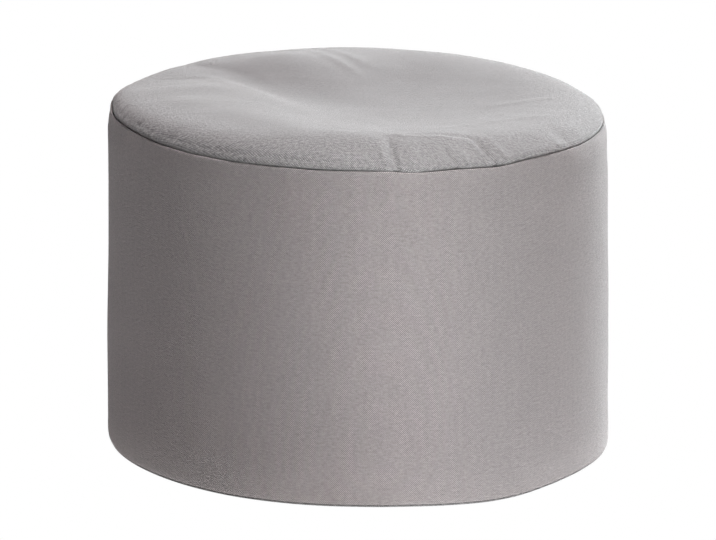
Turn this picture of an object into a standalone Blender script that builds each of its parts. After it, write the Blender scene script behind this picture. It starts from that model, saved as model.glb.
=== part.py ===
"""Bean bag footstool: a round filled bag sewn from a side panel, a top panel and a base panel.

Metres, +Z up. The origin is on the floor, at the centre of the base.
The side panel and the fill behind it are one filled solid. The top and base panels are cloth
sheets sewn to its two ends, each turned into its seam.
"""
from math import cos, exp, pi, radians, sin, sqrt
from typing import NamedTuple

import bmesh
import bpy

# Driving dimensions
BAG_RADIUS = 0.250          # the side panel at mid height
FOOT_SPREAD = 0.0012        # the wall is this much wider near the floor and narrower at the top
SEAM_HEIGHT = 0.335         # the top seam above the floor
TOP_SEAM_RADIUS = 0.2425
BASE_SEAM_RADIUS = 0.2465
BASE_TURN_UP = 0.005        # radius of the base panel's turned-up edge
CROWN_HEIGHT = 0.0225       # the full, undented top above its seam
CROWN_SHOULDER = 8          # a higher power gives a squarer shoulder and a flatter middle
CLOTH = 0.002
GAP = 0.0003                # clearance between pieces that lie on each other
LEAN = -0.0177              # the bag leans towards -X, by this slope

# The undented crown is not level: height gained per metre along X and Y, and its saddle and twist
CROWN_SLOPE_X = -0.022
CROWN_SLOPE_Y = -0.009
CROWN_SADDLE = -0.055
CROWN_TWIST = 0.137
DENT_MARGIN = 0.12          # share of the radius over which dents and swells fade into the seam

# Turned meshes
SEGMENTS = 72
CROWN_RINGS = 18
CROWN_RING_CROWDING = 1.5   # above 1 the rings crowd towards the steep shoulder
TURN_UP_STEPS = 3

CLOTH_COLOUR = (0.30, 0.28, 0.275, 1.0)
CLOTH_ROUGHNESS = 0.9


class Dent(NamedTuple):
    """A soft swell of the top, or a hollow where the height is negative."""
    name: str
    x: float
    y: float
    half_length: float
    half_width: float
    turn: float             # degrees from +X to its length
    height: float
    flatness: float = 1.0   # above 1 gives a flat floor with steeper banks


DENTS = (
    Dent("sat_in_hollow", 0.031, -0.013, 0.120, 0.136, -11, -0.0135, 1.8),
    Dent("left_trough", -0.093, 0.050, 0.044, 0.097, 57, -0.0094),
    Dent("left_ridge", -0.131, 0.043, 0.110, 0.016, -52, 0.0020),
    Dent("front_sag", 0.033, -0.174, 0.047, 0.027, 0, -0.0040),
    Dent("back_left_swell", -0.063, 0.128, 0.065, 0.042, 0, 0.0072),
    Dent("right_rise", 0.186, -0.098, 0.110, 0.092, 0, 0.0041),
    Dent("left_pad", -0.152, -0.062, 0.030, 0.021, 0, 0.0013),
    Dent("cross_swell", 0.082, 0.072, 0.035, 0.147, 0, 0.0017),
    Dent("front_left_swell", -0.109, -0.119, 0.030, 0.104, 45, 0.0020),
    Dent("front_lip", 0.059, -0.186, 0.088, 0.038, 13, 0.0057),
)


def smoothstep(value):
    value = min(max(value, 0.0), 1.0)
    return value * value * (3.0 - 2.0 * value)


def shoulder(radius):
    """Share of the crown's height at a radius: 1 in the middle, 0 at the top seam."""
    share = min(radius / TOP_SEAM_RADIUS, 1.0)
    return sqrt(1.0 - share ** CROWN_SHOULDER)


def dent_height(dent, x, y):
    c, s = cos(radians(dent.turn)), sin(radians(dent.turn))
    along = (c * (x - dent.x) + s * (y - dent.y)) / dent.half_length
    across = (c * (y - dent.y) - s * (x - dent.x)) / dent.half_width
    return dent.height * exp(-(along ** 2 + across ** 2) ** dent.flatness)


def relief(x, y):
    """How far the used top lies above or below the even crown."""
    radius = sqrt(x * x + y * y)
    tilt = CROWN_SLOPE_X * x + CROWN_SLOPE_Y * y
    warp = CROWN_SADDLE * (x * x - y * y) + CROWN_TWIST * x * y
    margin = smoothstep((1.0 - radius / TOP_SEAM_RADIUS) / DENT_MARGIN)
    return (tilt + warp) * shoulder(radius) + margin * sum(dent_height(d, x, y) for d in DENTS)


def settle(point):
    """Put a point of the even, upright bag where it lies in the dented, leaning one."""
    if point.z > SEAM_HEIGHT / 2:
        point.z += relief(point.x, point.y)
    point.x += LEAN * point.z


def crown_profile(depth):
    """(radius, height) from the seam to the axis, on a surface that lies depth under the crown."""
    profile = []
    for step in range(CROWN_RINGS + 1):
        share = 1.0 - (step / CROWN_RINGS) ** CROWN_RING_CROWDING
        radius = TOP_SEAM_RADIUS * share
        height = CROWN_HEIGHT * shoulder(radius)
        if step == 0:
            normal = (1.0, 0.0)
        else:
            slope = -0.5 * CROWN_HEIGHT * CROWN_SHOULDER * share ** (CROWN_SHOULDER - 1)
            slope /= TOP_SEAM_RADIUS * shoulder(radius)
            length = sqrt(1.0 + slope * slope)
            normal = (-slope / length, 1.0 / length)
        profile.append((max(radius - depth * normal[0], 0.0),
                        SEAM_HEIGHT + height - depth * normal[1]))
    return profile


def turn_up_profile(depth):
    """(radius, height) along the base panel's turned-up edge, depth inside its outer face."""
    profile = []
    for step in range(TURN_UP_STEPS + 1):
        angle = 0.5 * pi * step / TURN_UP_STEPS
        bend = BASE_TURN_UP - depth
        profile.append((BASE_SEAM_RADIUS - BASE_TURN_UP + bend * sin(angle),
                        BASE_TURN_UP - bend * cos(angle)))
    return profile


def wall_profile():
    """(radius, height) up the side panel, from the base seam to the top seam."""
    foot = BAG_RADIUS + FOOT_SPREAD
    top = BAG_RADIUS - FOOT_SPREAD
    return [
        (BASE_SEAM_RADIUS, BASE_TURN_UP + GAP),
        (BASE_SEAM_RADIUS + 0.0015, BASE_TURN_UP + 0.003),
        (foot - 0.0015, 0.022),
        (foot, 0.050),
        (foot, 0.090),
        (BAG_RADIUS, SEAM_HEIGHT * 0.5),
        (top, SEAM_HEIGHT - 0.070),
        (top, SEAM_HEIGHT - 0.030),
        (top - 0.0005, SEAM_HEIGHT - 0.016),
        (top - 0.0020, SEAM_HEIGHT - 0.007),
        (TOP_SEAM_RADIUS + 0.0020, SEAM_HEIGHT - 0.002),
        (TOP_SEAM_RADIUS, SEAM_HEIGHT - GAP),
    ]


def side_panel_section():
    """Closed section of the filled side panel, from the axis at the floor to the axis at the top."""
    inside_panels = CLOTH + GAP
    corner = turn_up_profile(inside_panels)
    crown = crown_profile(inside_panels)
    base_ledge = (corner[-1][0], BASE_TURN_UP + GAP)
    top_ledge = (crown[0][0], SEAM_HEIGHT - GAP)
    return ([(0.0, inside_panels)] + corner[:-1] + [base_ledge] + wall_profile()
            + [top_ledge] + crown[1:])


def top_panel_section():
    """Closed section of the top panel, from the axis on its underside to the axis on its face."""
    return crown_profile(CLOTH)[::-1] + crown_profile(0.0)


def base_panel_section():
    """Closed section of the base panel, from the axis on the floor to the axis on its upper face."""
    outside = [(0.0, 0.0)] + turn_up_profile(0.0)
    inside = [(0.0, CLOTH)] + turn_up_profile(CLOTH)
    return outside + inside[::-1]


def make_material(name):
    material = bpy.data.materials.new(name)
    material.use_nodes = True
    shader = material.node_tree.nodes["Principled BSDF"]
    shader.inputs["Base Color"].default_value = CLOTH_COLOUR
    shader.inputs["Roughness"].default_value = CLOTH_ROUGHNESS
    shader.inputs["Metallic"].default_value = 0.0
    return material


def spirals_outward(start, end):
    """True for a diagonal whose outer end is counter-clockwise of its inner end."""
    turn = start.x * end.y - start.y * end.x
    return turn * (end.xy.length - start.xy.length) > 0.0


def split_quads(shape):
    """Split every quad the same way round, so that pieces lying on each other crease alike."""
    for face in [face for face in shape.faces if len(face.verts) == 4]:
        a, b, c, d = face.verts
        if spirals_outward(a.co, c.co):
            bmesh.utils.face_split(face, a, c)
        else:
            bmesh.utils.face_split(face, b, d)


def make_turned_piece(name, section, collection):
    """Turn a section about Z, settle it, and add it to the collection."""
    shape = bmesh.new()
    rim = [shape.verts.new((radius, 0.0, height)) for radius, height in section]
    edges = [shape.edges.new(pair) for pair in zip(rim, rim[1:])]
    bmesh.ops.spin(shape, geom=rim + edges, cent=(0, 0, 0), axis=(0, 0, 1),
                   angle=2 * pi, steps=SEGMENTS)
    bmesh.ops.remove_doubles(shape, verts=shape.verts, dist=1e-6)
    split_quads(shape)
    for vert in shape.verts:
        settle(vert.co)
    bmesh.ops.recalc_face_normals(shape, faces=shape.faces)
    mesh = bpy.data.meshes.new(name)
    shape.to_mesh(mesh)
    shape.free()
    mesh.shade_smooth()
    mesh.set_sharp_from_angle(angle=radians(50))
    piece = bpy.data.objects.new(name, mesh)
    piece.data.materials.append(make_material(name))
    collection.objects.link(piece)
    return piece


def main():
    for old in list(bpy.data.objects):
        bpy.data.objects.remove(old, do_unlink=True)
    collection = bpy.data.collections.new("bean_bag_footstool")
    bpy.context.scene.collection.children.link(collection)
    make_turned_piece("side_panel", side_panel_section(), collection)
    make_turned_piece("top_panel", top_panel_section(), collection)
    make_turned_piece("base_panel", base_panel_section(), collection)


main()
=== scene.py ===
from math import cos, pi, radians, sin, tau
from typing import NamedTuple

import bpy
import numpy as np
from mathutils import Matrix, Vector, noise


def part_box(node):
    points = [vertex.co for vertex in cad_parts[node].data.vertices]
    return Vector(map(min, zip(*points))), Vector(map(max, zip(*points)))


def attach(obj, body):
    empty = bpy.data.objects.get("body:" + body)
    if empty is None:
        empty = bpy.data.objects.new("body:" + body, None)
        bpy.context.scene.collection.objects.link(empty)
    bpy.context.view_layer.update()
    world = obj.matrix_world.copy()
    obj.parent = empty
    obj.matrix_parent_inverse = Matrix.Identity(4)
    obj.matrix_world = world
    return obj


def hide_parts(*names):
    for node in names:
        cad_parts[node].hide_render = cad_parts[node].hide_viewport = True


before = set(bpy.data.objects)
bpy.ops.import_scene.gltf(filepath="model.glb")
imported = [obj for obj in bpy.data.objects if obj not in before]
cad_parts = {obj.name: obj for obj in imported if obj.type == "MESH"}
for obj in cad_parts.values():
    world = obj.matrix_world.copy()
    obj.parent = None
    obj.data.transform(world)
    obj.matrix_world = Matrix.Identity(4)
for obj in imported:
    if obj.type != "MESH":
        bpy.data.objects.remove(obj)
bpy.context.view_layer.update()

# Looks of the bean bag footstool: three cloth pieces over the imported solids, in metres.
# The camera is in front, on -Y. Azimuths are in degrees, anticlockwise from above: -90 is the
# front of the bag, 0 its right, 90 its back and 180 its left.

# Sizes read from the frame
SIDE_LOW, SIDE_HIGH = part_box("side_panel")
TOP_LOW, TOP_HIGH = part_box("top_panel")
BASE_LOW, BASE_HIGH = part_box("base_panel")
FOOT_RADIUS = (SIDE_HIGH[1] - SIDE_LOW[1]) / 2
TOP_SEAM_RADIUS = (TOP_HIGH[0] - TOP_LOW[0]) / 2
BASE_SEAM_RADIUS = (BASE_HIGH[0] - BASE_LOW[0]) / 2
SEAM_HEIGHT = TOP_LOW[2] + 0.0023       # the dented panel's underside dips below its seam
BASE_REACH = BASE_SEAM_RADIUS + 0.0022  # the loaded foot spreads out over its seam

# The settled bag, as the solids have it
HEAD_RADIUS = FOOT_RADIUS - 0.0024      # the side panel just below the top seam
LEAN = -0.0177                          # the bag leans towards -X, by this slope
CROWN_HEIGHT = 0.0225                   # the full, undented top above its seam
CROWN_SHOULDER = 8                      # a higher power gives a squarer shoulder
DENT_MARGIN = 0.12                      # share of the radius over which dents fade into the seam
# The undented crown is not level: height gained per metre along X and Y, and its saddle and twist
CROWN_SLOPE_X = -0.022
CROWN_SLOPE_Y = -0.009
CROWN_SADDLE = -0.055
CROWN_TWIST = 0.137

# What the cloth adds at the rim and the foot. A form begins at its START and is whole a SPAN
# further; the rim's, the sag's and the seam's are shares of the seam's radius
CORNER_SHOULDER = 40                    # the shoulder's power where the top turns down squarely
CORNER_SPAN = 0.004                     # it begins at the seam, and goes up
RIM_START = 0.60
RIM_SPAN = 0.30
SAG_START = 0.35
SAG_SPAN = 0.50
SEAM_RISE_SPAN = 0.20                   # it begins with the rim
SEAM_RISE_REACH = 0.060                 # how far above and below the seam its rise is felt
FOOT_START = 0.20                       # from the bag's axis
FOOT_SPAN = 0.04
FOOT_HEIGHT = 0.060                     # up to here the loaded foot spreads

# The cloth and its seams
THICKNESS = 0.0012                      # of the top's and the base's
CLEARANCE = 0.0040                      # between the top panel and the fill under it
SEAM_DEPTH = 0.0045                     # how deep the top's edge is tucked in where the seam is shut
TUCK_DEPTH = 0.012                      # no turned-in edge lies deeper than this under the seam
CROWN_START = 0.0030                    # height over the seam where the tuck turns into the crown
FILL_INSET = 0.0085                     # how far inside the seam the hidden fill's crown begins
LIP_HEIGHT = 0.0200                     # the side panel's turn in under the top seam
LIP_DROP = 0.0004                       # its edge lies this far below the seam
LIP_REACH = HEAD_RADIUS - TOP_SEAM_RADIUS - 0.0010      # inward, to 1 mm outside the seam
ROUND_LIP = radians(62.0)               # how far over the turn in leans at its edge
STEEP_LIP = radians(34.0)
WALL_START = 0.022                      # height of the wall's first ring, over the foot
WALL_PINCH = 0.0004                     # how far the wall is drawn in there
WALL_PINCH_SPAN = 0.12                  # share of the wall's height over which that ends
WALL_TAPER = (0.1, 0.8)                 # START and SPAN of its narrowing, as such shares
WALL_INSIDE = TOP_SEAM_RADIUS + 0.002   # all of the wall lies outside this radius

# Folds
CREASE_FADE = 0.3                       # share of a crease's length over which its ends fade out
PUCKER_WIDTHS = (0.6, 1.4)              # shares of its half width, at the seam and at its far end
PUCKER_FADE = (0.35, 0.95)              # START and SPAN of its fading, as shares of its length
PUCKER_HELD = 0.45                      # share of its height that the stitches leave at the seam
HELD_SPAN = 0.006                       # and how far from them it is whole
SLACK_AZIMUTH = -155.0                  # where the cloth is slackest
SLACK_SPREAD = 35.0                     # degrees
TIGHT_SHARE = 0.35                      # share of their size that gathers keep where it is tight
RIPPLE_SPAN = 0.010                     # how far from the seam the top's ripples are whole
SEED_STEP = 17.3                        # how far apart in the noise two seeds lie
TABLE_BLUR = 9                          # degrees over which a table's corners are rounded off

# Meshes
SEGMENTS = 640
CROWN_RINGS = 68
FILL_RINGS = 24
WALL_RINGS = 60
LIP_RINGS = 13


class Dent(NamedTuple):
    """A soft swell of the top, or a hollow where the height is negative."""
    name: str
    x: float
    y: float
    half_length: float
    half_width: float
    turn: float                         # degrees from +X to its length
    height: float
    flatness: float = 1.0               # above 1 gives a flat floor with steeper banks


class Crease(NamedTuple):
    """A narrow fold of the top from one point to another; a trough where the height is negative."""
    name: str
    x0: float
    y0: float
    x1: float
    y1: float
    half_width: float
    height: float


class Pucker(NamedTuple):
    """A fold that starts at the seam and runs away from it; a trough where the height is negative."""
    azimuth: float                      # degrees, at the seam
    drift: float                        # degrees that it turns by its far end
    length: float                       # along the cloth, from the seam
    half_width: float                   # along the seam
    height: float


class Ripple(NamedTuple):
    """Smooth chance unevenness of the cloth."""
    height: float
    size: tuple                         # its scale along X, Y and Z
    seed: int


class WallDent(NamedTuple):
    """A soft swell of the wall, or a hollow where the swell is negative."""
    azimuth: float                      # degrees
    height: float                       # of its middle, above the floor
    half_width: float                   # degrees
    half_height: float
    swell: float


class FinePlace(NamedTuple):
    """A stretch of the bag where the segments lie closer together, since its folds are fine."""
    azimuth: float                      # degrees
    half_width: float                   # degrees
    closeness: float                    # 1 doubles the segments in its middle


DENTS = (
    Dent("sat_in_hollow", 0.031, -0.013, 0.120, 0.136, -11, -0.0135, 1.8),
    Dent("left_trough", -0.093, 0.050, 0.044, 0.097, 57, -0.0094),
    Dent("left_ridge", -0.131, 0.043, 0.110, 0.016, -52, 0.0020),
    Dent("front_sag", 0.033, -0.174, 0.047, 0.027, 0, -0.0040),
    Dent("back_left_swell", -0.065, 0.128, 0.066, 0.042, 0, 0.0069),
    Dent("right_rise", 0.186, -0.098, 0.110, 0.092, 0, 0.0041),
    Dent("left_pad", -0.152, -0.062, 0.030, 0.021, 0, 0.0013),
    Dent("cross_swell", 0.082, 0.072, 0.035, 0.147, 0, 0.0017),
    Dent("front_left_swell", -0.109, -0.119, 0.030, 0.104, 45, 0.0020),
    Dent("front_lip", 0.059, -0.186, 0.088, 0.038, 13, 0.0057),
)

CREASES = (
    Crease("left_fold", -0.157, 0.128, -0.104, 0.072, 0.0090, -0.0012),
    Crease("front_edge", -0.012, -0.173, 0.036, -0.192, 0.0038, 0.0013),
    Crease("lip_trough", 0.050, -0.180, 0.098, -0.178, 0.0036, -0.0013),
    Crease("lip_ridge", 0.040, -0.195, 0.082, -0.190, 0.0036, 0.0011),
    Crease("right_tuck", 0.092, -0.132, 0.170, -0.078, 0.0056, 0.0011),
    Crease("right_pleat", 0.140, -0.010, 0.185, 0.010, 0.0060, 0.0007),
    Crease("left_tuck", -0.189, 0.071, -0.140, 0.057, 0.0044, -0.0008),
    Crease("back_pleat", -0.060, 0.175, -0.016, 0.120, 0.0060, 0.0009),
    Crease("back_tuck", -0.030, 0.181, 0.000, 0.138, 0.0060, 0.0008),
)

# The top's folds at its seam: the front's, and then the small tucks of the slack left
TOP_PUCKERS = (
    Pucker(-83.2, -1.8, 0.028, 0.0028, 0.0018),
    Pucker(-80.9, -1.0, 0.040, 0.0038, -0.0044),
    Pucker(-77.0, 0.2, 0.036, 0.0070, 0.0018),
    Pucker(-66.9, -1.6, 0.024, 0.0034, -0.0026),
    Pucker(-64.0, -1.0, 0.022, 0.0050, 0.0016),
    Pucker(-59.0, -1.8, 0.034, 0.0026, 0.0012),
    Pucker(-57.0, -1.6, 0.038, 0.0034, -0.0032),
    Pucker(-53.8, -1.2, 0.036, 0.0056, 0.0019),
    Pucker(-36.8, 0.5, 0.020, 0.0034, 0.0007),
    Pucker(-32.8, 1.5, 0.030, 0.0080, -0.0013),
    Pucker(-173.5, 0.5, 0.012, 0.0018, -0.0022),
    Pucker(-169.5, 0.0, 0.012, 0.0016, -0.0018),
    Pucker(-164.6, -0.8, 0.014, 0.0026, -0.0042),
    Pucker(-160.8, 1.0, 0.010, 0.0026, -0.0015),
    Pucker(-156.5, -1.0, 0.012, 0.0018, -0.0019),
    Pucker(-152.0, 1.0, 0.010, 0.0034, -0.0015),
    Pucker(-148.8, 0.0, 0.008, 0.0020, 0.0007),
    Pucker(-145.5, 1.0, 0.011, 0.0038, -0.0015),
    Pucker(-142.0, 0.0, 0.008, 0.0022, 0.0007),
    Pucker(-138.4, 1.0, 0.010, 0.0038, -0.0014),
    Pucker(-134.0, 0.0, 0.007, 0.0024, -0.0006),
)

# The side panel's own, just under that seam
WALL_PUCKERS = (
    Pucker(-168.0, 0.0, 0.020, 0.0040, -0.0010),
    Pucker(-160.0, 1.0, 0.018, 0.0050, -0.0008),
    Pucker(-152.0, 0.0, 0.014, 0.0050, 0.0005),
    Pucker(-45.0, 2.0, 0.024, 0.0140, -0.0008),
    Pucker(-32.0, 2.0, 0.022, 0.0120, 0.0006),
)

WALL_DENTS = (
    WallDent(180.0, 0.190, 28.0, 0.070, -0.0010),
    WallDent(0.0, 0.314, 20.0, 0.022, -0.0012),
    WallDent(-38.0, 0.298, 26.0, 0.020, -0.0018),
)

TOP_RIPPLES = (
    Ripple(0.0005, (0.035, 0.035, 0.050), 1),
    Ripple(0.00022, (0.120, 0.008, 0.030), 2),
)
WALL_RIPPLES = (
    Ripple(0.0009, (0.080, 0.080, 0.140), 4),
    Ripple(0.0004, (0.030, 0.030, 0.060), 5),
)

FINE_PLACES = (
    FinePlace(-72.0, 34.0, 1.5),
    FinePlace(-158.0, 24.0, 1.3),
)

# The tables below hold (azimuth, value) all round the bag

# How far the top seam gapes, from 0 to 1
SEAM_OPENING = (
    (-180.0, 0.74), (-166.0, 0.80), (-156.0, 0.92), (-142.0, 0.90), (-135.0, 0.74), (-118.5, 0.66),
    (-115.7, 0.20), (-113.0, 0.64), (-98.0, 0.70), (-90.0, 0.52), (-85.0, 0.56), (-80.5, 0.04),
    (-76.5, 0.00), (-73.0, 0.90), (-62.0, 0.80), (-50.0, 0.52), (-40.0, 0.44), (-30.0, 0.28),
    (-15.0, 0.14), (0.0, 0.24), (90.0, 0.50), (165.0, 0.80),
)
# How high the top seam runs over its even level
SEAM_RISE = (
    (-180.0, 0.0020), (-166.0, 0.0024), (-160.0, 0.0030), (-150.0, 0.0025), (-145.0, 0.0016),
    (-139.0, 0.0008), (-130.0, -0.0003), (-120.0, -0.0002), (-110.0, 0.0005), (-100.0, 0.0003),
    (-93.0, 0.0009), (-87.0, 0.0011), (-83.0, 0.0003), (-78.0, -0.0017), (-73.0, -0.0011),
    (-68.0, -0.0003), (-64.0, -0.0007), (-57.0, -0.0021), (-52.0, -0.0007), (-48.0, 0.0008),
    (-38.0, 0.0012), (-30.0, -0.0003), (-24.0, 0.0), (-15.0, -0.0002), (60.0, 0.0), (165.0, 0.0004),
    (174.0, 0.0014),
)
# How roundly the side panel turns in under the top seam, from 0 to 1
LIP_ROUNDNESS = (
    (-180.0, 0.2), (-165.0, 0.1), (-60.0, 0.1), (-40.0, 0.4), (-28.0, 1.0), (10.0, 1.0), (40.0, 0.4),
    (150.0, 0.3),
)
# How far the rim of the top bulges outward
RIM_BULGE = (
    (-180.0, 0.0014), (-170.0, 0.0020), (-145.0, 0.0028), (-35.0, 0.0028), (-15.0, 0.0006),
    (5.0, 0.0008), (30.0, 0.0022), (55.0, 0.0012), (70.0, -0.0010), (90.0, 0.0), (125.0, 0.0008),
    (140.0, -0.0010), (150.0, -0.0026), (160.0, 0.0010), (168.0, 0.0040), (175.0, 0.0040),
)
# How far the rim of the top rises
RIM_LIFT = (
    (-180.0, -0.0052), (-168.0, -0.0018), (-150.0, 0.0), (-10.0, 0.0), (10.0, 0.0006),
    (35.0, 0.0018), (50.0, 0.0014), (60.0, 0.0006), (70.0, -0.0002), (90.0, 0.0004),
    (108.0, -0.0010), (120.0, -0.0016), (130.0, -0.0042), (140.0, -0.0050), (150.0, -0.0052),
    (158.0, -0.0066), (166.0, -0.0088), (172.0, -0.0088),
)
# How far the slack crown sinks behind its rim
CROWN_SAG = (
    (-180.0, 0.0010), (-168.0, 0.0058), (-150.0, 0.0078), (-130.0, 0.0058), (-112.0, 0.0024),
    (-95.0, 0.0), (170.0, 0.0),
)
# How squarely the top turns down into its seam, from 0 for an even crown to 1
RIM_CORNER = (
    (-180.0, 0.42), (-168.0, 0.68), (-150.0, 0.75), (-130.0, 0.60), (-112.0, 0.26), (-95.0, 0.0),
    (112.0, 0.0), (122.0, 0.20), (132.0, 0.40), (145.0, 0.44), (160.0, 0.38), (170.0, 0.36),
)
# How far the loaded foot spreads at the floor
FOOT_WAVE = (
    (-180.0, 0.0002), (-165.0, 0.0004), (-145.0, -0.0006), (-120.0, 0.0), (-105.0, -0.0018),
    (-90.0, -0.0045), (-78.0, -0.0036), (-70.0, 0.0), (-60.0, 0.0046), (-52.0, 0.0034),
    (-42.0, -0.0022), (-33.0, -0.0044), (-22.0, -0.0034), (-10.0, 0.0006), (0.0, 0.0022),
    (40.0, 0.0), (90.0, 0.0008), (140.0, 0.0),
)

# Edges at the top seam, as (out, up) from it. The top panel's runs from inside the seam up to its
# rim, and the side panel's from its lip down into the seam. Each has one for where the seam gapes
# and one for where it is shut
OPEN_TUCK = (
    (-0.0070, -0.0030), (-0.0052, -0.0022), (-0.0036, -0.0012), (-0.0021, -0.0001),
    (-0.0009, 0.0010), (-0.0002, 0.0022),
)
SHUT_TUCK = (
    (-0.0050, -SEAM_DEPTH), (-0.0030, -0.0034), (-0.0016, -0.0024), (-0.0007, -0.0014),
    (-0.0002, -0.0006), (0.0, 0.0004),
)
OPEN_GROOVE = (
    (0.0003, -0.0008), (-0.0006, -0.0020), (-0.0020, -0.0040), (-0.0075, -SEAM_DEPTH - 0.0016),
)
SHUT_GROOVE = (
    (0.0004, -0.0005), (0.0001, -0.0014), (-0.0014, -0.0040), (-0.0075, -SEAM_DEPTH - 0.0016),
)


def smoothstep(value):
    """0 below 0, 1 above 1, and a smooth rise between."""
    value = np.clip(value, 0.0, 1.0)
    return value * value * (3.0 - 2.0 * value)


def fade_in(value, start, span):
    """0 up to start, then a smooth rise to 1 over the span."""
    return smoothstep((value - start) / span)


def degrees_from(middle, azimuth):
    """Degrees from the middle to an azimuth, from -180 to 180."""
    return np.mod(azimuth - middle + 180.0, 360.0) - 180.0


def segment_azimuths():
    """Azimuth of each segment in radians, closer together at the fine places.
    The first is at the back, where the side panel's strip closes."""
    degrees = np.arange(-270.0, 90.5, 0.5)
    closeness = 1.0
    for place in FINE_PLACES:
        off = (degrees - place.azimuth) / place.half_width
        closeness = closeness + place.closeness * np.exp(-off ** 2)
    counted = np.concatenate([[0.0], np.cumsum(closeness[1:] + closeness[:-1])])
    places = np.arange(SEGMENTS) * counted[-1] / SEGMENTS
    return np.radians(np.interp(places, counted, degrees))


AZIMUTHS = segment_azimuths()
CLOTH_TURNS = np.append(AZIMUTHS, AZIMUTHS[0] + tau)    # once round, to where the cloth meets itself


def around(table):
    """A table of (azimuth, value), rounded off between its rows and read at each segment."""
    places, values = zip(*table)
    degrees = np.arange(-180.0, 180.0)
    fine = np.interp(degrees, places, values, period=360.0)
    blur = np.hanning(TABLE_BLUR) / np.hanning(TABLE_BLUR).sum()
    half = TABLE_BLUR // 2
    fine = np.convolve(np.concatenate([fine[-half:], fine, fine[:half]]), blur, "valid")
    return np.interp(np.degrees(AZIMUTHS), degrees, fine, period=360.0)


def shoulder(radius, power=CROWN_SHOULDER):
    """Share of the crown's height at a radius: 1 in the middle, 0 at the top seam."""
    share = np.clip(radius / TOP_SEAM_RADIUS, 0.0, 1.0)
    return np.sqrt(1.0 - share ** power)


def relief(x, y):
    """How far the used top lies above or below the even crown."""
    radius = np.hypot(x, y)
    uneven = CROWN_SLOPE_X * x + CROWN_SLOPE_Y * y
    uneven = uneven + CROWN_SADDLE * (x * x - y * y) + CROWN_TWIST * x * y
    dents = 0.0
    for dent in DENTS:
        turn = radians(dent.turn)
        along = (cos(turn) * (x - dent.x) + sin(turn) * (y - dent.y)) / dent.half_length
        across = (cos(turn) * (y - dent.y) - sin(turn) * (x - dent.x)) / dent.half_width
        dents = dents + dent.height * np.exp(-(along ** 2 + across ** 2) ** dent.flatness)
    margin = smoothstep((1.0 - radius / TOP_SEAM_RADIUS) / DENT_MARGIN)
    return uneven * shoulder(radius) + margin * dents


def crease_height(x, y):
    """The narrow folds of the top, each fading out past its two ends."""
    height = 0.0
    for crease in CREASES:
        start = np.array((crease.x0, crease.y0))
        along = np.array((crease.x1, crease.y1)) - start
        length = np.hypot(*along)
        along = along / length
        run = (x - start[0]) * along[0] + (y - start[1]) * along[1]
        off = (y - start[1]) * along[0] - (x - start[0]) * along[1]
        past = np.maximum(0.0, np.maximum(-run, run - length)) / (CREASE_FADE * length)
        height = height + crease.height * np.exp(-(off / crease.half_width) ** 2 - past ** 2)
    return height


def pucker_height(away, puckers):
    """The folds that run from a seam, at each ring and segment. away is each ring's distance from
    the seam, along the cloth."""
    away = away[:, None]
    height = 0.0
    for pucker in puckers:
        share = np.clip(away / pucker.length, 0.0, 1.0)
        centre = radians(pucker.azimuth) + radians(pucker.drift) * share
        turn = np.mod(AZIMUTHS - centre + pi, tau) - pi
        width = PUCKER_WIDTHS[0] + (PUCKER_WIDTHS[1] - PUCKER_WIDTHS[0]) * share
        across = turn * TOP_SEAM_RADIUS / (pucker.half_width * width)
        fade = 1.0 - fade_in(away / pucker.length, *PUCKER_FADE)
        held = PUCKER_HELD + (1.0 - PUCKER_HELD) * smoothstep(away / HELD_SPAN)
        height = height + pucker.height * np.exp(-across ** 2) * fade * held
    return height


def gathers(seed, count, half_width, length, height):
    """Small chance puckers all round a seam, strongest on the left, where the cloth is slack."""
    rng = np.random.default_rng(seed)
    found = []
    for i in range(count):
        azimuth = -180.0 + 360.0 * (i + rng.uniform(-0.35, 0.35)) / count
        off = degrees_from(SLACK_AZIMUTH, azimuth) / SLACK_SPREAD
        slack = TIGHT_SHARE + (1.0 - TIGHT_SHARE) * np.exp(-off ** 2)
        found.append(Pucker(azimuth, rng.uniform(-1.5, 1.5), length * rng.uniform(0.6, 1.3),
                            half_width * rng.uniform(0.7, 1.4),
                            height * slack * rng.uniform(-1.0, 0.8)))
    return found


def ripple_height(points, ripples):
    """The chance unevenness at each point."""
    height = 0.0
    for ripple in ripples:
        flat = points.reshape(-1, 3) / np.array(ripple.size) + ripple.seed * SEED_STEP
        smooth = np.array([noise.noise(Vector(p)) for p in flat])
        height = height + ripple.height * smooth.reshape(points.shape[:-1])
    return height


def grid_normals(points):
    """Unit normals of a grid of rings, outward for rings that run up the wall and in over the top."""
    across = np.roll(points, -1, axis=1) - np.roll(points, 1, axis=1)
    along = np.gradient(points, axis=0)
    normal = np.cross(across, along)
    return normal / np.maximum(np.linalg.norm(normal, axis=2, keepdims=True), 1e-12)


def mixed(profile, other, share):
    """Rings of (radius, height) between two profiles; share is 0 for the first, at each segment."""
    share = np.clip(share, 0.0, 1.0)[None, :, None]
    return (1.0 - share) * np.array(profile)[:, None, :] + share * np.array(other)[:, None, :]


def turned(section):
    """Rings of points from rings of (radius, height)."""
    radius, height = section[..., 0], section[..., 1]
    return np.stack([radius * np.cos(AZIMUTHS), radius * np.sin(AZIMUTHS), height], axis=-1)


def run_length(profile):
    """Distance along a profile from its first point, at each of its points."""
    steps = np.diff(np.array(profile), axis=0)
    return np.concatenate([[0.0], np.cumsum(np.hypot(steps[:, 0], steps[:, 1]))])


def from_seam(edge):
    """(radius, height) of an edge that is given as (out, up) from the top seam."""
    return [(TOP_SEAM_RADIUS + out, SEAM_HEIGHT + up) for out, up in edge]


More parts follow.
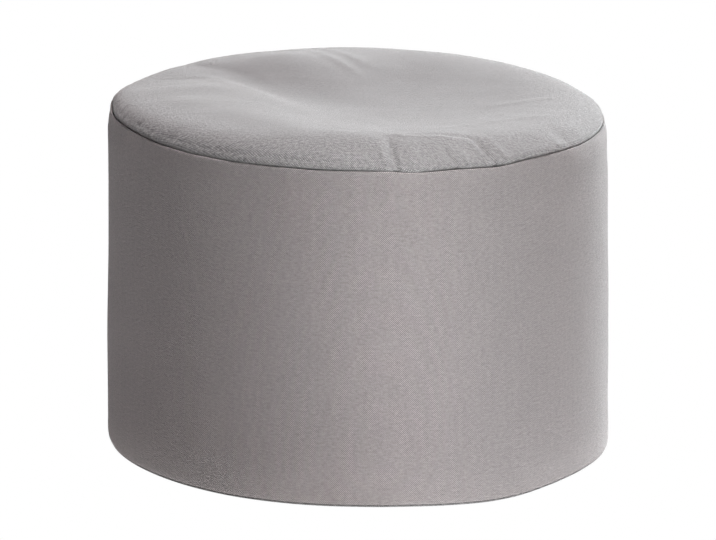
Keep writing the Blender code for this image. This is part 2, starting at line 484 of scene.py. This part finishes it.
def crown_profile(depth, rings):
    """(radius, height) from the top seam to near the axis, depth under the even crown's face."""
    profile = []
    for i in range(rings):
        share = 1.0 - (i / rings) ** 2
        radius = TOP_SEAM_RADIUS * share
        height = CROWN_HEIGHT * float(shoulder(radius))
        rise = 0.5 * CROWN_SHOULDER * CROWN_HEIGHT * share ** (CROWN_SHOULDER - 1)
        slope = np.array((rise, TOP_SEAM_RADIUS * max(float(shoulder(radius)), 1e-6)))
        slope = slope / np.hypot(*slope)
        profile.append((radius - depth * slope[0], SEAM_HEIGHT + height - depth * slope[1]))
    return profile


def rim_share(radius, height):
    """1 at the rim of the top, and 0 in its middle and on the wall."""
    share = fade_in(radius / TOP_SEAM_RADIUS, RIM_START, RIM_SPAN)
    share = share * smoothstep((HEAD_RADIUS - radius) / LIP_REACH)
    return share * (height > SEAM_HEIGHT - TUCK_DEPTH)


def outward(radius, height):
    """How far the rim, the foot and the wall's dents move a point away from the axis."""
    foot = (1.0 - smoothstep(height / FOOT_HEIGHT)) * fade_in(radius, FOOT_START, FOOT_SPAN)
    out = rim_share(radius, height) * around(RIM_BULGE) + foot * around(FOOT_WAVE)
    for dent in WALL_DENTS:
        turn = degrees_from(dent.azimuth, np.degrees(AZIMUTHS)) / dent.half_width
        level = (height - dent.height) / dent.half_height
        out = out + dent.swell * np.exp(-turn ** 2 - level ** 2) * (radius > WALL_INSIDE)
    return out


def upward(radius, height):
    """How far the squarer turn of the rim, its lift and the crown's sag move a point up."""
    squarer = shoulder(radius, CORNER_SHOULDER) - shoulder(radius)
    corner = squarer * around(RIM_CORNER) * fade_in(height, SEAM_HEIGHT, CORNER_SPAN)
    sag = fade_in(radius / TOP_SEAM_RADIUS, SAG_START, SAG_SPAN) * around(CROWN_SAG)
    lift = rim_share(radius, height) * around(RIM_LIFT) - sag * (height > SEAM_HEIGHT - TUCK_DEPTH)
    return lift * (shoulder(radius) + corner) + CROWN_HEIGHT * corner


def settle(even):
    """Rings of an even bag's points, dented and leaning as the solids are, and wavy at its edges."""
    radius = np.hypot(even[..., 0], even[..., 1])
    stretch = 1.0 + outward(radius, even[..., 2]) / np.maximum(radius, 1e-9)
    x, y = even[..., 0] * stretch, even[..., 1] * stretch
    height = even[..., 2] + upward(radius, even[..., 2])
    near_seam = smoothstep(1.0 - np.abs(height - SEAM_HEIGHT) / SEAM_RISE_REACH)
    near_seam = near_seam * fade_in(radius / TOP_SEAM_RADIUS, RIM_START, SEAM_RISE_SPAN)
    height = height + np.where(height > 0.5 * SEAM_HEIGHT, relief(x, y), 0.0)
    height = height + near_seam * around(SEAM_RISE)
    return np.stack([x + LEAN * height, y, height], axis=-1)


def make_piece(name, rings, cloth_uv, poles):
    """A mesh from rings of points. cloth_uv(ring, segment) is a point's place on the flat cloth, and
    poles lists which ends, "first" or "last", close on one point."""
    count = len(rings)
    verts = rings.reshape(-1, 3).tolist()
    faces, uvs = [], []
    for i in range(count - 1):
        for j in range(SEGMENTS):
            k = (j + 1) % SEGMENTS
            faces.append((i * SEGMENTS + j, i * SEGMENTS + k,
                          (i + 1) * SEGMENTS + k, (i + 1) * SEGMENTS + j))
            uvs += [cloth_uv(i, j), cloth_uv(i, j + 1), cloth_uv(i + 1, j + 1), cloth_uv(i + 1, j)]
    for end in poles:
        ring = 0 if end == "first" else count - 1
        pole = len(verts)
        verts.append(rings[ring].mean(axis=0).tolist())
        for j in range(SEGMENTS):
            k = (j + 1) % SEGMENTS
            pair = (k, j) if end == "first" else (j, k)
            faces.append((ring * SEGMENTS + pair[0], ring * SEGMENTS + pair[1], pole))
            uvs += [cloth_uv(ring, j + (pair[0] != j)), cloth_uv(ring, j + (pair[1] != j)), (0.0, 0.0)]
    mesh = bpy.data.meshes.new(name)
    mesh.from_pydata(verts, [], faces)
    layer = mesh.uv_layers.new(name="cloth")
    layer.data.foreach_set("uv", np.array(uvs, dtype=np.float32).ravel())
    mesh.shade_smooth()
    mesh.update()
    piece = bpy.data.objects.new(name, mesh)
    bpy.context.scene.collection.objects.link(piece)
    return piece


def thicken(piece):
    """Give a cloth surface its thickness, on its inner side."""
    solid = piece.modifiers.new("Thickness", "SOLIDIFY")
    solid.thickness = THICKNESS
    solid.offset = -1.0
    bpy.context.view_layer.objects.active = piece
    with bpy.context.temp_override(object=piece, active_object=piece, selected_objects=[piece]):
        bpy.ops.object.modifier_apply(modifier=solid.name)


def make_disc(name, profile, rings, turns):
    """A round of cloth with its thickness, from rings that run in to its middle. turns is the
    azimuth of each of its segments. Returns it and its radius when flat."""
    length = run_length(profile)
    flat = length[-1] + profile[-1][0] - length

    def cloth_uv(i, j):
        return (flat[i] * cos(turns[j]), flat[i] * sin(turns[j]))

    piece = make_piece(name, rings, cloth_uv, ["last"])
    thicken(piece)
    return piece, float(flat[0])


def make_top():
    """The top panel: crowned, dented and creased, its edge turned down into the seam."""
    tuck = from_seam(OPEN_TUCK)
    crown = [p for p in crown_profile(0.0, CROWN_RINGS) if p[1] > SEAM_HEIGHT + CROWN_START]
    profile = tuck + crown
    away = np.maximum(run_length(profile) - run_length(tuck)[-1], 0.0)
    even = turned(mixed(from_seam(SHUT_TUCK) + crown, profile, around(SEAM_OPENING)))
    rings = settle(even)
    small = gathers(seed=3, count=120, half_width=0.0036, length=0.016, height=0.0007)
    folds = crease_height(even[..., 0], even[..., 1])
    folds = folds + pucker_height(away, TOP_PUCKERS) + pucker_height(away, small)
    folds = folds + smoothstep(away / RIPPLE_SPAN)[:, None] * ripple_height(rings, TOP_RIPPLES)
    rings = rings + grid_normals(rings) * folds[..., None]
    return make_disc("top_cover", profile, rings, CLOTH_TURNS.tolist())


def side_foot():
    """(radius, height) of the underside of the fill, then the side panel's edge at the base seam."""
    return [
        (0.10, 0.0040),
        (BASE_REACH - 0.0040, 0.0040),
        (BASE_REACH - 0.0014, 0.0032),
        (BASE_REACH - 0.0002, 0.0024),
        (BASE_REACH + 0.0006, 0.0026),
        (BASE_REACH + 0.0013, 0.0042),
        (BASE_REACH + 0.0018, 0.0080),
        (FOOT_RADIUS - 0.0006, 0.0140),
    ]


def side_wall():
    """(radius, height) of the wall, a little narrower at its head than at its foot."""
    wall = []
    for i in range(WALL_RINGS):
        share = i / (WALL_RINGS - 1)
        height = WALL_START + (SEAM_HEIGHT - LIP_HEIGHT - WALL_START) * share
        radius = FOOT_RADIUS + (HEAD_RADIUS - FOOT_RADIUS) * float(fade_in(share, *WALL_TAPER))
        radius -= WALL_PINCH * max(0.0, 1.0 - share / WALL_PINCH_SPAN) ** 2
        wall.append((radius, height))
    return wall


def side_lip(last):
    """(radius, height) of the side panel's turn in under the top seam, up to the angle last."""
    across = LIP_REACH / (1.0 - cos(last))
    lip = []
    for i in range(1, LIP_RINGS + 1):
        bend = last * sin(0.5 * pi * i / LIP_RINGS)
        lip.append((HEAD_RADIUS - across * (1.0 - cos(bend)),
                    SEAM_HEIGHT - LIP_DROP - LIP_HEIGHT + LIP_HEIGHT * sin(bend) / sin(last)))
    return lip


def make_side():
    """The side panel and the fill behind it: the wall, the seam's lip and the hidden crown."""
    foot = side_foot()
    wall = side_wall()
    fill = crown_profile(THICKNESS + CLEARANCE, FILL_RINGS)
    fill = [p for p in fill if p[0] < TOP_SEAM_RADIUS - FILL_INSET]

    def section(last, groove):
        """(radius, height) of the whole piece, with one kind of lip and of seam."""
        return foot + wall + side_lip(last) + from_seam(groove) + fill

    opening = around(SEAM_OPENING)
    steep = mixed(section(STEEP_LIP, SHUT_GROOVE), section(STEEP_LIP, OPEN_GROOVE), opening)
    rounded = mixed(section(ROUND_LIP, SHUT_GROOVE), section(ROUND_LIP, OPEN_GROOVE), opening)
    rings = settle(turned(steep + (rounded - steep) * around(LIP_ROUNDNESS)[None, :, None]))
    length = run_length(section(ROUND_LIP, OPEN_GROOVE))
    lip_end = len(foot) + len(wall) + LIP_RINGS
    away = np.abs(length[lip_end - 1] - length)
    small = gathers(seed=5, count=110, half_width=0.0040, length=0.014, height=0.0006)
    folds = pucker_height(away, WALL_PUCKERS) + pucker_height(away, small)
    folds = folds + ripple_height(rings, WALL_RIPPLES)
    folds[:len(foot)] = 0.0
    folds[lip_end:] = 0.0
    rings = rings + grid_normals(rings) * folds[..., None]
    along = (FOOT_RADIUS * (CLOTH_TURNS - CLOTH_TURNS[0])).tolist()

    def cloth_uv(i, j):
        return (along[j], length[i])

    return make_piece("side_cover", rings, cloth_uv, ["first", "last"])


def make_base():
    """The base panel: flat on the floor, its edge turned up to the base seam."""
    profile = [
        (BASE_REACH - 0.0008, 0.0021),
        (BASE_REACH - 0.0002, 0.0012),
        (BASE_REACH - 0.0006, 0.0004),
        (BASE_REACH - 0.0020, 0.0),
        (BASE_REACH - 0.0200, 0.0),
        (BASE_REACH - 0.0500, 0.0),
        (BASE_REACH * 0.50, 0.0),
    ]
    section = np.repeat(np.array(profile)[:, None, :], SEGMENTS, axis=1)
    # the other way round, so that its outer face looks down
    rings = settle(turned(section))[:, ::-1]
    return make_disc("base_cover", profile, rings, CLOTH_TURNS[::-1].tolist())


class Nodes:
    """Short calls for building a node tree."""

    def __init__(self, tree):
        self.tree = tree

    def add(self, kind, **settings):
        node = self.tree.nodes.new(kind)
        for key, value in settings.items():
            setattr(node, key, value)
        return node

    def link(self, source, socket):
        self.tree.links.new(source, socket)

    def math(self, operation, a, b=None, c=None):
        node = self.add("ShaderNodeMath", operation=operation)
        for socket, value in zip(node.inputs, (a, b, c)):
            if value is None:
                continue
            if isinstance(value, (int, float)):
                socket.default_value = value
            else:
                self.link(value, socket)
        return node.outputs[0]

    def noise(self, vector, scale, detail=2.0, output="Fac"):
        node = self.add("ShaderNodeTexNoise")
        node.inputs["Scale"].default_value = scale
        node.inputs["Detail"].default_value = detail
        self.link(vector, node.inputs["Vector"])
        return node.outputs[output]

    def scaled(self, vector, scale):
        node = self.add("ShaderNodeMapping")
        node.inputs["Scale"].default_value = scale
        self.link(vector, node.inputs["Vector"])
        return node.outputs["Vector"]

    def ramp(self, value, low, high, start, end):
        """value from low..high mapped to start..end, clamped."""
        node = self.add("ShaderNodeMapRange")
        for key, number in (("From Min", low), ("From Max", high), ("To Min", start), ("To Max", end)):
            node.inputs[key].default_value = number
        self.link(value, node.inputs["Value"])
        return node.outputs["Result"]

    def gain(self, value, spread, between):
        """A factor from 1 - spread to 1 + spread, for noise that mostly lies between two values."""
        return self.ramp(value, *between, 1.0 - spread, 1.0 + spread)


# The look of the cloth
SIDE_COLOUR = (0.406, 0.3705, 0.3705)   # linear, and a little warmer than the top's
TOP_COLOUR = (0.388, 0.375, 0.377)
WARP_PITCH = 0.00100                    # from one thread to the next
WEFT_PITCH = 0.001015
SPECKLE = 0.17                          # how far single threads differ in tone
TWO_TONE = 0.19                         # how far the weft is lighter, and the warp darker
SLUB = 0.10                             # thick and thin places in the yarn
STREAK = 0.025                          # long faint streaks
BLOTCH = 0.02                           # broad faint patches
ROW_SHADE = 0.36                             # painted shade: how much darker it is between two weft threads
ROW_HIGHLIGHT = 0.5                         # painted highlight: share of that by which it is lighter on them
PIT_SHADE = 0.74                         # painted shade between the threads, as a share of the cloth's own tone
THREAD_HIGHLIGHT = 1.06                      # painted highlight on the threads, as the same share
THREAD_LEVEL = 0.8                      # from this height of the weave, between 0 and 1, a thread has its whole painted highlight
PIT_ROUGHNESS = 0.98
THREAD_ROUGHNESS = 0.86
WEAVE_HEIGHT = 0.0005                   # of the bump that one thread makes
YARN_ALONG = 260.0                      # how closely a yarn's tone changes along it, and across
YARN_ACROSS = 900.0
STRAY_SCALE = 90.0                      # how closely the threads' straying changes
BLOTCH_SCALE = 28.0
TONE_RANGE = (0.25, 0.75)               # where the yarn's noise mostly lies
NOISE_RANGE = (0.3, 0.7)                # where the rest mostly lies
SLUB_TAUT = 0.5                         # size of the slubs in the taut middle of a round of cloth
SLUB_GATHERED = 2.2                     # and at its gathered seam
TONE_BUMP = 0.8                         # share of the yarn's tone that shows as height
SLUB_BUMP = 3.0                         # and the same of its slubs


def strayed(n, place, wander):
    """u and v of a place on the cloth, moved a little, since no thread runs quite straight."""
    stray = n.noise(place, STRAY_SCALE, 1.0, "Color")
    moved = n.add("ShaderNodeVectorMath", operation="MULTIPLY_ADD")
    moved.inputs[1].default_value = (2 * wander, 2 * wander, 0.0)
    n.link(stray, moved.inputs[0])
    n.link(place, moved.inputs[2])
    split = n.add("ShaderNodeSeparateXYZ")
    n.link(moved.outputs["Vector"], split.inputs[0])
    return split.outputs["X"], split.outputs["Y"]


def wave_up(n, along, row, share):
    """A thread's way over and under its neighbours, from 0 to 1; share is 0.5, or -0.5 for the
    threads that cross it."""
    odd = n.math("MULTIPLY", n.math("FLOOR", row), pi)
    wave = n.math("COSINE", n.math("MULTIPLY_ADD", along, pi, odd))
    return n.math("MULTIPLY_ADD", wave, share, 0.5)


def plain_weave(n, u, v):
    """Heights of the warp and the weft, each where it is up, and of the weft's threads alone.
    u and v count the threads."""
    warp_round = n.math("ABSOLUTE", n.math("SINE", n.math("MULTIPLY", u, pi)))
    weft_round = n.math("ABSOLUTE", n.math("SINE", n.math("MULTIPLY", v, pi)))
    warp = n.math("MULTIPLY", warp_round, wave_up(n, v, u, 0.5))
    weft = n.math("MULTIPLY", weft_round, wave_up(n, u, v, -0.5))
    return warp, weft, weft_round


def yarn_tone(n, place, on_top):
    """Noise from 0 to 1, fine across a thread and long along it. on_top is 1 where the warp shows."""
    tone = n.add("ShaderNodeMix", data_type="FLOAT")
    n.link(on_top, tone.inputs["Factor"])
    n.link(n.noise(n.scaled(place, (YARN_ALONG, YARN_ACROSS, 1.0)), 1.0), tone.inputs["A"])
    n.link(n.noise(n.scaled(place, (YARN_ACROSS, YARN_ALONG, 1.0)), 1.0), tone.inputs["B"])
    return tone.outputs["Result"]


def yarn_slubs(n, place, scale, gathered):
    """Thick and thin places in the yarn, about 0, weaker where a round of cloth is taut."""
    slubs = n.ramp(n.noise(n.scaled(place, scale), 1.0), *NOISE_RANGE, -SLUB, SLUB)
    if not gathered:
        return slubs
    reach = n.add("ShaderNodeVectorMath", operation="LENGTH")
    n.link(place, reach.inputs[0])
    crinkle = n.ramp(reach.outputs["Value"], *gathered, SLUB_TAUT, SLUB_GATHERED)
    return n.math("MULTIPLY", slubs, crinkle)


def cloth_material(name, tint, streak, slub, wander, gathered=None):
    """Matte plain-weave cloth: warp and weft threads with painted shade between them and painted
    highlight on them, speckled yarn, faint long streaks.
    streak and slub are how closely these follow each other, and wander is how far a thread
    strays from its straight line. gathered is the pair of radii between which a round of cloth
    turns from taut to crinkled, towards its seam."""
    material = bpy.data.materials.new(name)
    material.use_nodes = True
    n = Nodes(material.node_tree)
    shader = material.node_tree.nodes["Principled BSDF"]
    place = n.add("ShaderNodeUVMap", uv_map="cloth").outputs["UV"]
    u, v = strayed(n, place, wander)
    u = n.math("MULTIPLY", u, 1.0 / WARP_PITCH)
    v = n.math("MULTIPLY", v, 1.0 / WEFT_PITCH)
    warp, weft, weft_round = plain_weave(n, u, v)
    weave = n.math("MAXIMUM", warp, weft)
    on_top = n.math("GREATER_THAN", warp, weft)
    tone = yarn_tone(n, place, on_top)
    slubs = yarn_slubs(n, place, slub, gathered)
    yarns = n.ramp(on_top, 0.0, 1.0, 1.0 + TWO_TONE, 1.0 - TWO_TONE)
    speckle = n.math("MULTIPLY", n.gain(tone, SPECKLE, TONE_RANGE), yarns)
    speckle = n.math("MULTIPLY", speckle, n.math("ADD", slubs, 1.0))
    streaks = n.gain(n.noise(n.scaled(place, streak), 1.0, 3.0), STREAK, NOISE_RANGE)
    blotch = n.gain(n.noise(place, BLOTCH_SCALE, 3.0), BLOTCH, NOISE_RANGE)
    # painted shade between the weft threads and in the weave's pits, and painted highlight on the
    # threads' tops
    row_shade = n.ramp(weft_round, 0.0, 1.0, 1.0 - ROW_SHADE, 1.0 + ROW_HIGHLIGHT * ROW_SHADE)
    weave_shade = n.math("MULTIPLY", n.ramp(weave, 0.0, THREAD_LEVEL, PIT_SHADE, THREAD_HIGHLIGHT), row_shade)
    level = n.math("MULTIPLY", n.math("MULTIPLY", speckle, streaks), n.math("MULTIPLY", blotch, weave_shade))
    colour = n.add("ShaderNodeVectorMath", operation="SCALE")
    colour.inputs[0].default_value = tint
    n.link(level, colour.inputs["Scale"])
    n.link(colour.outputs["Vector"], shader.inputs["Base Color"])
    n.link(n.ramp(weave, 0.0, 1.0, PIT_ROUGHNESS, THREAD_ROUGHNESS), shader.inputs["Roughness"])
    bump = n.add("ShaderNodeBump")
    bump.inputs["Strength"].default_value = 1.0
    bump.inputs["Distance"].default_value = WEAVE_HEIGHT
    uneven = n.math("ADD", n.math("MULTIPLY", tone, TONE_BUMP), n.math("MULTIPLY", slubs, SLUB_BUMP))
    n.link(n.math("ADD", weave, uneven), bump.inputs["Height"])
    n.link(bump.outputs["Normal"], shader.inputs["Normal"])
    shader.inputs["Metallic"].default_value = 0.0
    shader.inputs["Specular IOR Level"].default_value = 0.25
    shader.inputs["Sheen Weight"].default_value = 0.25
    shader.inputs["Sheen Roughness"].default_value = 0.5
    return material


CAMERA_PLACE = (-0.0029, -6.0, 1.7454)
CAMERA_LENS = 312.0                     # millimetres, on a sensor 36 mm wide
CAMERA_DIP = 0.2562                     # radians that it looks down
CAMERA_ROLL = 0.0214                    # radians


def make_camera():
    """A long lens in front of the bag, looking down a little and rolled slightly."""
    data = bpy.data.cameras.new("camera")
    data.sensor_width = 36.0
    data.lens = CAMERA_LENS
    data.clip_end = 100.0
    camera = bpy.data.objects.new("camera", data)
    aim = Matrix.Rotation(0.5 * pi - CAMERA_DIP, 4, "X")
    roll = Matrix.Rotation(CAMERA_ROLL, 4, "Z")
    camera.matrix_world = Matrix.Translation(CAMERA_PLACE) @ aim @ roll
    bpy.context.scene.collection.objects.link(camera)
    bpy.context.scene.camera = camera


class Softbox(NamedTuple):
    """A soft light. azimuth is degrees from the camera, towards +X; aim is the height it faces."""
    name: str
    azimuth: float
    reach: float                        # distance from the bag's axis
    height: float
    aim: float
    width: float
    length: float                       # the same as the width for a round light
    power: float
    colour: tuple


MIDDLE = 0.184                          # half way up the bag
UP = 1000.0                             # aim of a light that faces straight up
# The floor glows lie just over the floor, as the light that a bright floor throws up
SOFTBOXES = (
    Softbox("back_low", 180, 3.98, 0.85, MIDDLE, 1.6, 1.6, 35.0, (1.00, 0.84, 0.78)),
    Softbox("back_right_low", 150, 3.98, 0.85, MIDDLE, 1.6, 1.6, 163.0, (0.88, 0.99, 1.00)),
    Softbox("back_right_high", 144, 3.60, 1.94, MIDDLE, 1.6, 1.6, 73.0, (0.83, 0.97, 1.00)),
    Softbox("right_edge", 120, 3.98, 0.85, MIDDLE, 0.8, 0.8, 30.0, (1.00, 0.80, 0.76)),
    Softbox("overhead", 0, 0.00, 4.18, MIDDLE, 1.6, 1.6, 97.0, (1.00, 0.91, 0.92)),
    Softbox("overhead_right", 90, 1.37, 3.94, MIDDLE, 1.6, 1.6, 86.5, (0.98, 0.99, 1.00)),
    Softbox("front_strip_low", 12, 0.48, 0.25, 0.25, 0.12, 0.50, 0.616, (0.98, 1.00, 0.99)),
    Softbox("front_strip_high", 0, 0.62, 0.58, 0.58, 0.16, 0.44, 0.361, (0.89, 1.00, 0.99)),
    Softbox("floor_glow", 0, 0.00, 0.0008, UP, 0.58, 0.58, 0.575, (1.00, 0.99, 0.98)),
    Softbox("floor_glow_right", 90, 0.35, 0.0008, UP, 0.80, 0.80, 0.465, (0.86, 0.95, 1.00)),
)


def make_lights():
    """Soft studio light, none of it seen by the camera."""
    for box in SOFTBOXES:
        data = bpy.data.lights.new(box.name, "AREA")
        data.shape = "DISK" if box.width == box.length else "RECTANGLE"
        data.size = box.width
        if box.width != box.length:
            data.size_y = box.length
        data.energy = box.power
        data.color = box.colour
        light = bpy.data.objects.new(box.name, data)
        turn = radians(box.azimuth)
        light.location = (box.reach * sin(turn), -box.reach * cos(turn), box.height)
        away = light.location - Vector((0.0, 0.0, box.aim))
        light.rotation_euler = away.to_track_quat("Z", "Y").to_euler()
        light.visible_camera = False
        bpy.context.scene.collection.objects.link(light)


def make_world():
    """What the camera sees behind the bag is plain white; only the softboxes light the bag."""
    world = bpy.data.worlds.new("studio")
    world.use_nodes = True
    bpy.context.scene.world = world
    n = Nodes(world.node_tree)
    background = world.node_tree.nodes["Background"]
    path = n.add("ShaderNodeLightPath")
    mix = n.add("ShaderNodeMix", data_type="RGBA")
    n.link(path.outputs["Is Camera Ray"], mix.inputs["Factor"])
    mix.inputs["A"].default_value = (0.0, 0.0, 0.0, 1.0)
    mix.inputs["B"].default_value = (1.0, 1.0, 1.0, 1.0)
    n.link(mix.outputs["Result"], background.inputs["Color"])


def make_floor():
    """A floor that the camera sees as plain white, and that bounces light as pale grey."""
    bpy.ops.mesh.primitive_plane_add(size=60.0)
    floor = bpy.context.object
    floor.name = "floor"
    material = bpy.data.materials.new("floor")
    material.use_nodes = True
    n = Nodes(material.node_tree)
    tree = material.node_tree
    tree.nodes.remove(tree.nodes["Principled BSDF"])
    path = n.add("ShaderNodeLightPath")
    bounce = n.add("ShaderNodeBsdfDiffuse")
    bounce.inputs["Color"].default_value = (0.80, 0.80, 0.80, 1.0)
    glow = n.add("ShaderNodeEmission")
    glow.inputs["Color"].default_value = (1.0, 1.0, 1.0, 1.0)
    mix = n.add("ShaderNodeMixShader")
    n.link(path.outputs["Is Camera Ray"], mix.inputs[0])
    n.link(bounce.outputs[0], mix.inputs[1])
    n.link(glow.outputs[0], mix.inputs[2])
    n.link(mix.outputs[0], tree.nodes["Material Output"].inputs["Surface"])
    floor.data.materials.append(material)


def main():
    make_camera()
    make_lights()
    make_world()
    make_floor()
    side = make_side()
    top, top_reach = make_top()
    base, base_reach = make_base()
    side.data.materials.append(cloth_material(
        "side_cloth", SIDE_COLOUR, streak=(180.0, 3.0, 1.0), slub=(200.0, 430.0, 1.0), wander=0.00006))
    for disc, name in ((top, "top_cloth"), (base, "base_cloth")):
        disc.data.materials.append(cloth_material(
            name, TOP_COLOUR, streak=(6.0, 260.0, 1.0), slub=(300.0, 430.0, 1.0), wander=0.00030,
            gathered=(0.17, 0.22)))
    for piece, node in ((side, "side_panel"), (top, "top_panel"), (base, "base_panel")):
        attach(piece, "root")
        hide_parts(node)
    bpy.context.scene.view_settings.view_transform = "Standard"
    bpy.context.scene.view_settings.look = "None"


main()
